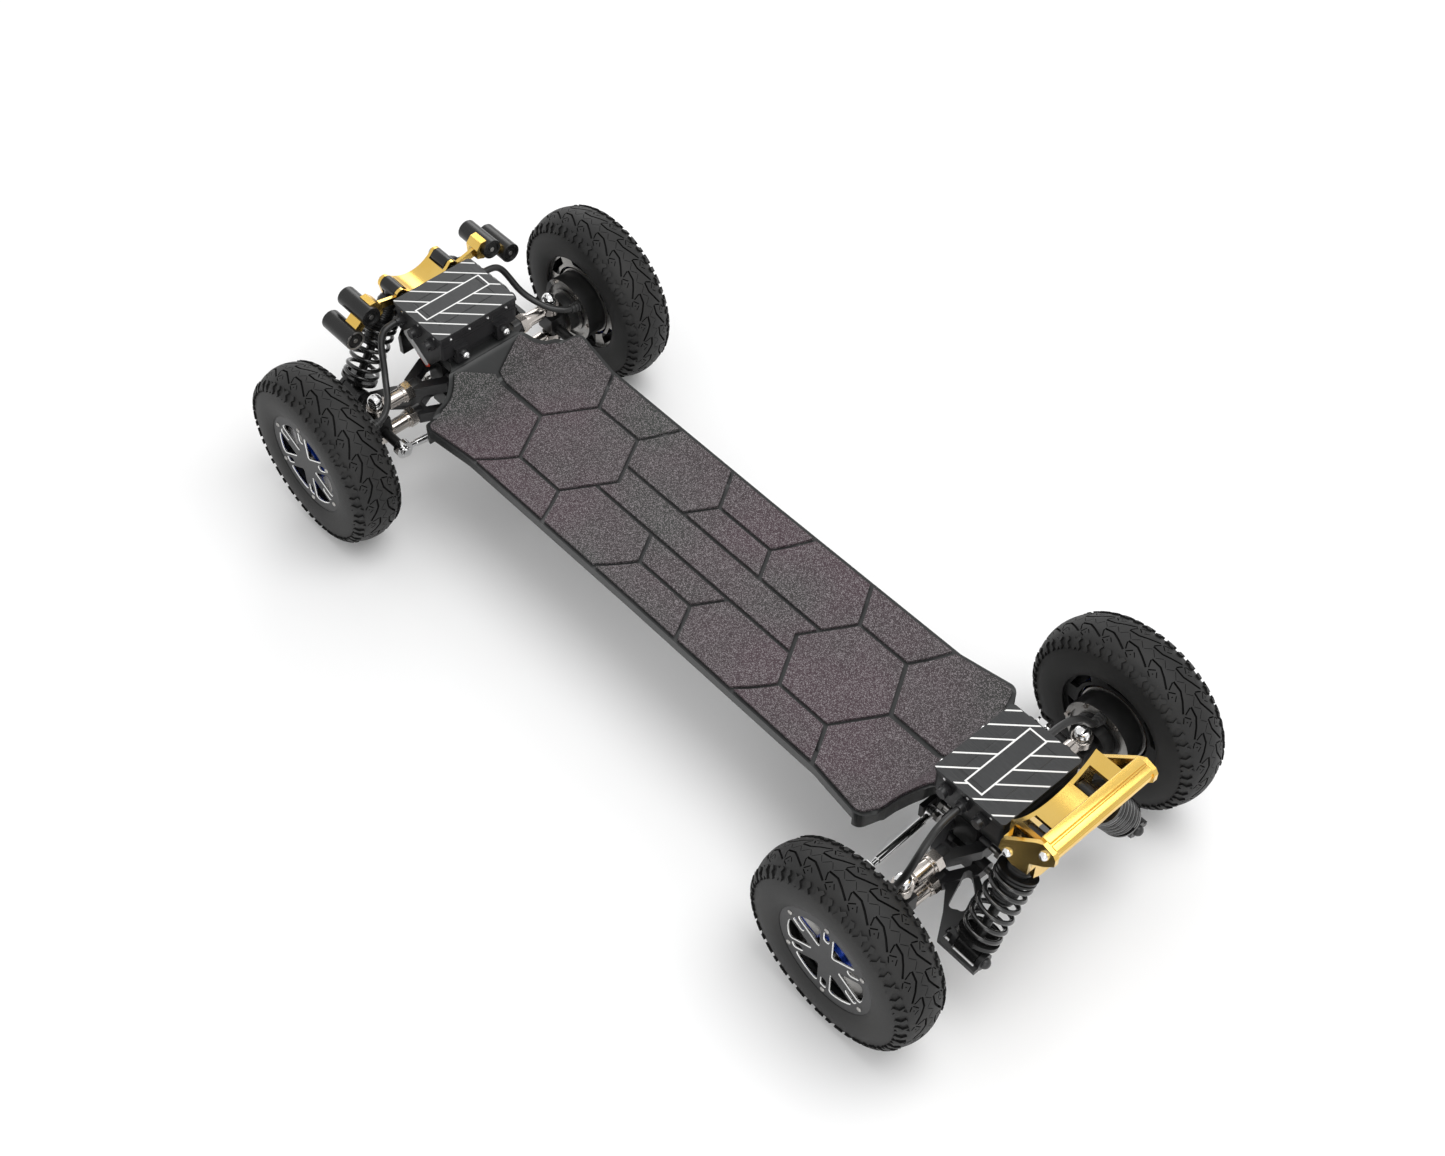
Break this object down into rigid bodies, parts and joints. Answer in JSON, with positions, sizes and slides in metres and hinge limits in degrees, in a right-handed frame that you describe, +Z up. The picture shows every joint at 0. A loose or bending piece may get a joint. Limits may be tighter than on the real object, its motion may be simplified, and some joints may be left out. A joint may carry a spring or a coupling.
{
  "type": "electric skateboard",
  "caption": "All-terrain electric skateboard: hexagon-grip deck, sprung double-wishbone wheels with hub motors, end boxes, headlights and a rear bumper bar.",
  "frame": {"origin": "on the floor under the centre of the board's footprint", "axes": "+X towards the headlights (front), +Y the rider's left when facing forward, +Z up"},
  "size_m": [1.237, 0.5316, 0.3085],
  "materials": {
    "deck": "satin black moulded deck",
    "grip": "coarse grit, dark brown to grey",
    "box": "satin black",
    "lid": "brushed, dark anodised, with pale pinstripes",
    "black_frame": "satin black",
    "gold": "gold anodised, brushed",
    "light_housing": "black anodised",
    "electronics": "wrapped cells and board",
    "fastener": "polished steel",
    "lead": "matt black jacket",
    "gland": "black nylon",
    "tyre": "black rubber",
    "rim": "satin black, motor band blue",
    "hub_cap": "dark with bright machined edges",
    "knuckle": "satin black",
    "polished": "polished nickel",
    "arm": "satin black, polished rod end",
    "tie_rod": "polished",
    "shock_body": "black anodised, threaded",
    "shock_rod": "steel rod, black seat",
    "spring": "gloss black"
  },
  "bodies": {
    "chassis": {"deck": "deck", "grip_pads": "grip", "front_box": "box", "rear_box": "box", "front_lid": "lid", "rear_lid": "lid", "front_bulkhead": "black_frame", "rear_bulkhead": "black_frame", "front_tower": "gold", "rear_tower": "gold", "bumper_bar": "gold", "headlights": "light_housing", "electronics": "electronics", "chassis_fasteners": "fastener", "motor_leads": "lead", "cable_glands": "gland"},
    "lower_arm_fl": {"lower_arm_fl": "arm"},
    "upper_arm_fl": {"upper_arm_fl": "arm"},
    "kingpin_fl": {"kingpin_fl": "polished"},
    "knuckle_fl": {"knuckle_fl": "knuckle"},
    "wheel_fl": {"tyre_fl": "tyre", "rim_fl": "rim", "hub_cap_fl": "hub_cap"},
    "tie_rod_fl": {"tie_rod_fl": "tie_rod"},
    "shock_body_fl": {"shock_body_fl": "shock_body"},
    "shock_rod_fl": {"shock_rod_fl": "shock_rod", "spring_fl": "spring"},
    "lower_arm_fr": {"lower_arm_fr": "arm"},
    "upper_arm_fr": {"upper_arm_fr": "arm"},
    "kingpin_fr": {"kingpin_fr": "polished"},
    "knuckle_fr": {"knuckle_fr": "knuckle"},
    "wheel_fr": {"tyre_fr": "tyre", "rim_fr": "rim", "hub_cap_fr": "hub_cap"},
    "tie_rod_fr": {"tie_rod_fr": "tie_rod"},
    "shock_body_fr": {"shock_body_fr": "shock_body"},
    "shock_rod_fr": {"shock_rod_fr": "shock_rod", "spring_fr": "spring"},
    "lower_arm_rl": {"lower_arm_rl": "arm"},
    "upper_arm_rl": {"upper_arm_rl": "arm"},
    "kingpin_rl": {"kingpin_rl": "polished"},
    "knuckle_rl": {"knuckle_rl": "knuckle"},
    "wheel_rl": {"tyre_rl": "tyre", "rim_rl": "rim", "hub_cap_rl": "hub_cap"},
    "tie_rod_rl": {"tie_rod_rl": "tie_rod"},
    "shock_body_rl": {"shock_body_rl": "shock_body"},
    "shock_rod_rl": {"shock_rod_rl": "shock_rod", "spring_rl": "spring"},
    "lower_arm_rr": {"lower_arm_rr": "arm"},
    "upper_arm_rr": {"upper_arm_rr": "arm"},
    "kingpin_rr": {"kingpin_rr": "polished"},
    "knuckle_rr": {"knuckle_rr": "knuckle"},
    "wheel_rr": {"tyre_rr": "tyre", "rim_rr": "rim", "hub_cap_rr": "hub_cap"},
    "tie_rod_rr": {"tie_rod_rr": "tie_rod"},
    "shock_body_rr": {"shock_body_rr": "shock_body"},
    "shock_rod_rr": {"shock_rod_rr": "shock_rod", "spring_rr": "spring"}
  },
  "joints": [
    {"name": "suspension_fl", "type": "hinge", "parent": "chassis", "child": "lower_arm_fl", "pos_m": [0.4915, 0.038, 0.104], "axis": [1, 0, 0], "range_deg": [-10, 10], "stiffness_Nm_per_rad": 220, "springref_deg": -2.29},
    {"name": "upper_arm_fl", "type": "hinge", "parent": "chassis", "child": "upper_arm_fl", "pos_m": [0.4915, 0.038, 0.152], "axis": [1, 0, 0], "range_deg": [-10.5, 10.5], "deforming": ["motor_leads"]},
    {"name": "upright_fl", "type": "hinge", "parent": "lower_arm_fl", "child": "kingpin_fl", "pos_m": [0.4915, 0.146, 0.102], "axis": [1, 0, 0], "range_deg": [-10.5, 10.5]},
    {"name": "steer_fl", "type": "hinge", "parent": "kingpin_fl", "child": "knuckle_fl", "pos_m": [0.4915, 0.146, 0.126], "axis": [0, 0, 1], "range_deg": [-2, 2]},
    {"name": "wheel_spin_fl", "type": "hinge", "parent": "knuckle_fl", "child": "wheel_fl", "pos_m": [0.4915, 0.2295, 0.127], "axis": [0, 1, 0], "continuous": true},
    {"name": "tie_rod_fl", "type": "hinge", "parent": "chassis", "child": "tie_rod_fl", "pos_m": [0.4305, 0.032, 0.11], "axis": [1, 0, 0], "range_deg": [-10, 10]},
    {"name": "shock_swing_fl", "type": "hinge", "parent": "chassis", "child": "shock_body_fl", "pos_m": [0.5795, 0.041, 0.24], "axis": [1, 0, 0], "range_deg": [-3.2, 3.2]},
    {"name": "shock_stroke_fl", "type": "slide", "parent": "shock_body_fl", "child": "shock_rod_fl", "axis": [0, -0.5357, 0.8444], "range_m": [-0.0135, 0.0135], "deforming": ["spring_fl"]},
    {"name": "suspension_fr", "type": "hinge", "parent": "chassis", "child": "lower_arm_fr", "pos_m": [0.4915, -0.038, 0.104], "axis": [-1, 0, 0], "range_deg": [-10, 10], "stiffness_Nm_per_rad": 220, "springref_deg": -2.29},
    {"name": "upper_arm_fr", "type": "hinge", "parent": "chassis", "child": "upper_arm_fr", "pos_m": [0.4915, -0.038, 0.152], "axis": [-1, 0, 0], "range_deg": [-10.5, 10.5]},
    {"name": "upright_fr", "type": "hinge", "parent": "lower_arm_fr", "child": "kingpin_fr", "pos_m": [0.4915, -0.146, 0.102], "axis": [-1, 0, 0], "range_deg": [-10.5, 10.5]},
    {"name": "steer_fr", "type": "hinge", "parent": "kingpin_fr", "child": "knuckle_fr", "pos_m": [0.4915, -0.146, 0.126], "axis": [0, 0, -1], "range_deg": [-2, 2]},
    {"name": "wheel_spin_fr", "type": "hinge", "parent": "knuckle_fr", "child": "wheel_fr", "pos_m": [0.4915, -0.2295, 0.127], "axis": [0, 1, 0], "continuous": true},
    {"name": "tie_rod_fr", "type": "hinge", "parent": "chassis", "child": "tie_rod_fr", "pos_m": [0.4305, -0.032, 0.11], "axis": [-1, 0, 0], "range_deg": [-10, 10]},
    {"name": "shock_swing_fr", "type": "hinge", "parent": "chassis", "child": "shock_body_fr", "pos_m": [0.5795, -0.041, 0.24], "axis": [-1, 0, 0], "range_deg": [-3.2, 3.2]},
    {"name": "shock_stroke_fr", "type": "slide", "parent": "shock_body_fr", "child": "shock_rod_fr", "axis": [0, 0.5357, 0.8444], "range_m": [-0.0135, 0.0135], "deforming": ["spring_fr"]},
    {"name": "suspension_rl", "type": "hinge", "parent": "chassis", "child": "lower_arm_rl", "pos_m": [-0.4805, 0.038, 0.104], "axis": [1, 0, 0], "range_deg": [-10, 10], "stiffness_Nm_per_rad": 220, "springref_deg": -2.29},
    {"name": "upper_arm_rl", "type": "hinge", "parent": "chassis", "child": "upper_arm_rl", "pos_m": [-0.4805, 0.038, 0.152], "axis": [1, 0, 0], "range_deg": [-10.5, 10.5]},
    {"name": "upright_rl", "type": "hinge", "parent": "lower_arm_rl", "child": "kingpin_rl", "pos_m": [-0.4805, 0.146, 0.102], "axis": [1, 0, 0], "range_deg": [-10.5, 10.5]},
    {"name": "steer_rl", "type": "hinge", "parent": "kingpin_rl", "child": "knuckle_rl", "pos_m": [-0.4805, 0.146, 0.126], "axis": [0, 0, -1], "range_deg": [-2, 2]},
    {"name": "wheel_spin_rl", "type": "hinge", "parent": "knuckle_rl", "child": "wheel_rl", "pos_m": [-0.4805, 0.2295, 0.127], "axis": [0, 1, 0], "continuous": true},
    {"name": "tie_rod_rl", "type": "hinge", "parent": "chassis", "child": "tie_rod_rl", "pos_m": [-0.4195, 0.032, 0.11], "axis": [1, 0, 0], "range_deg": [-10, 10]},
    {"name": "shock_swing_rl", "type": "hinge", "parent": "chassis", "child": "shock_body_rl", "pos_m": [-0.5685, 0.041, 0.24], "axis": [1, 0, 0], "range_deg": [-3.2, 3.2]},
    {"name": "shock_stroke_rl", "type": "slide", "parent": "shock_body_rl", "child": "shock_rod_rl", "axis": [0, -0.5357, 0.8444], "range_m": [-0.0135, 0.0135], "deforming": ["spring_rl"]},
    {"name": "suspension_rr", "type": "hinge", "parent": "chassis", "child": "lower_arm_rr", "pos_m": [-0.4805, -0.038, 0.104], "axis": [-1, 0, 0], "range_deg": [-10, 10], "stiffness_Nm_per_rad": 220, "springref_deg": -2.29},
    {"name": "upper_arm_rr", "type": "hinge", "parent": "chassis", "child": "upper_arm_rr", "pos_m": [-0.4805, -0.038, 0.152], "axis": [-1, 0, 0], "range_deg": [-10.5, 10.5]},
    {"name": "upright_rr", "type": "hinge", "parent": "lower_arm_rr", "child": "kingpin_rr", "pos_m": [-0.4805, -0.146, 0.102], "axis": [-1, 0, 0], "range_deg": [-10.5, 10.5]},
    {"name": "steer_rr", "type": "hinge", "parent": "kingpin_rr", "child": "knuckle_rr", "pos_m": [-0.4805, -0.146, 0.126], "axis": [0, 0, 1], "range_deg": [-2, 2]},
    {"name": "wheel_spin_rr", "type": "hinge", "parent": "knuckle_rr", "child": "wheel_rr", "pos_m": [-0.4805, -0.2295, 0.127], "axis": [0, 1, 0], "continuous": true},
    {"name": "tie_rod_rr", "type": "hinge", "parent": "chassis", "child": "tie_rod_rr", "pos_m": [-0.4195, -0.032, 0.11], "axis": [-1, 0, 0], "range_deg": [-10, 10]},
    {"name": "shock_swing_rr", "type": "hinge", "parent": "chassis", "child": "shock_body_rr", "pos_m": [-0.5685, -0.041, 0.24], "axis": [-1, 0, 0], "range_deg": [-3.2, 3.2]},
    {"name": "shock_stroke_rr", "type": "slide", "parent": "shock_body_rr", "child": "shock_rod_rr", "axis": [0, 0.5357, 0.8444], "range_m": [-0.0135, 0.0135], "deforming": ["spring_rr"]}
  ],
  "couplings": [
    {"joint": "upper_arm_fl", "follows": "suspension_fl", "ratio": 1},
    {"joint": "upright_fl", "follows": "suspension_fl", "ratio": -1},
    {"joint": "steer_fl", "follows": "suspension_fl", "ratio": 0.17555},
    {"joint": "tie_rod_fl", "follows": "suspension_fl", "ratio": 0.93925},
    {"joint": "shock_swing_fl", "follows": "suspension_fl", "ratio": 0.28708},
    {"joint": "shock_stroke_fl", "follows": "suspension_fl", "m_per_rad": 0.075285},
    {"joint": "upper_arm_fr", "follows": "suspension_fr", "ratio": 1},
    {"joint": "upright_fr", "follows": "suspension_fr", "ratio": -1},
    {"joint": "steer_fr", "follows": "suspension_fr", "ratio": 0.17555},
    {"joint": "tie_rod_fr", "follows": "suspension_fr", "ratio": 0.93925},
    {"joint": "shock_swing_fr", "follows": "suspension_fr", "ratio": 0.28708},
    {"joint": "shock_stroke_fr", "follows": "suspension_fr", "m_per_rad": 0.075285},
    {"joint": "upper_arm_rl", "follows": "suspension_rl", "ratio": 1},
    {"joint": "upright_rl", "follows": "suspension_rl", "ratio": -1},
    {"joint": "steer_rl", "follows": "suspension_rl", "ratio": 0.17555},
    {"joint": "tie_rod_rl", "follows": "suspension_rl", "ratio": 0.93925},
    {"joint": "shock_swing_rl", "follows": "suspension_rl", "ratio": 0.28708},
    {"joint": "shock_stroke_rl", "follows": "suspension_rl", "m_per_rad": 0.075285},
    {"joint": "upper_arm_rr", "follows": "suspension_rr", "ratio": 1},
    {"joint": "upright_rr", "follows": "suspension_rr", "ratio": -1},
    {"joint": "steer_rr", "follows": "suspension_rr", "ratio": 0.17555},
    {"joint": "tie_rod_rr", "follows": "suspension_rr", "ratio": 0.93925},
    {"joint": "shock_swing_rr", "follows": "suspension_rr", "ratio": 0.28708},
    {"joint": "shock_stroke_rr", "follows": "suspension_rr", "m_per_rad": 0.075285}
  ]
}
